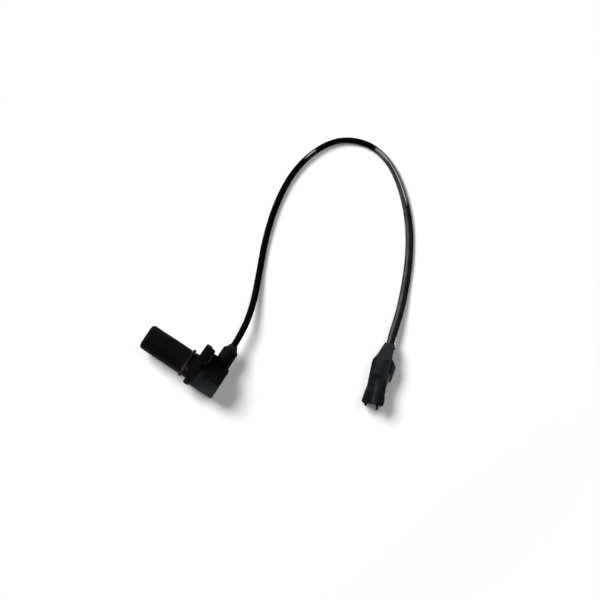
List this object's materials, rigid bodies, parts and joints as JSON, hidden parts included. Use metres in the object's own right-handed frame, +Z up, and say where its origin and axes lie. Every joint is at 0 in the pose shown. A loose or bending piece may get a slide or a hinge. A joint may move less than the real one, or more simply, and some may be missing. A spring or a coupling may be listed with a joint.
{
  "type": "rpm sensor",
  "caption": "Inductive engine speed sensor: round nose with O-ring, flange with one screw ear, side lead outlet, flying lead and a moulded plug with a clip arm.",
  "frame": {"origin": "where the nose axis meets the flange's seating face", "axes": "+X along the nose axis from its tip to the back of the head, +Y towards the lead outlet, +Z up from the surface the sensor lies on; the nose points along -X"},
  "size_m": [0.1582, 0.2042, 0.0334],
  "materials": {
    "black_polyamide": "moulded glass-filled polyamide, satin",
    "plug_polyamide": "moulded polyamide, satin",
    "seal_rubber": "moulded rubber seal, dusty",
    "grommet_rubber": "moulded rubber",
    "lead_jacket": "extruded jacket, semi-gloss",
    "bush_steel": "turned and plated",
    "soft_iron": "turned soft iron",
    "magnet_alloy": "sintered magnet",
    "natural_polyamide": "moulded natural polyamide",
    "copper": "enamelled copper wire",
    "tinned_brass": "stamped tinned brass",
    "wire_insulation": "extruded wire insulation"
  },
  "bodies": {
    "root": {"sensor_housing": "black_polyamide", "rear_cap": "black_polyamide", "o_ring": "seal_rubber", "mounting_bush": "bush_steel", "lead_grommet": "grommet_rubber", "pole_pin": "soft_iron", "bar_magnet": "magnet_alloy", "coil_bobbin": "natural_polyamide", "coil_winding": "copper", "terminal_block": "natural_polyamide", "terminal_tag_1": "tinned_brass", "terminal_tag_2": "tinned_brass", "head_wire_1": "wire_insulation", "head_wire_2": "wire_insulation", "lead_cable": "lead_jacket", "plug_rear_body": "plug_polyamide", "plug_front_shell": "plug_polyamide", "contact_pin_1": "tinned_brass", "contact_pin_2": "tinned_brass", "contact_pin_3": "tinned_brass", "plug_wire_1": "wire_insulation", "plug_wire_2": "wire_insulation", "plug_wire_3": "wire_insulation"}
  },
  "joints": []
}
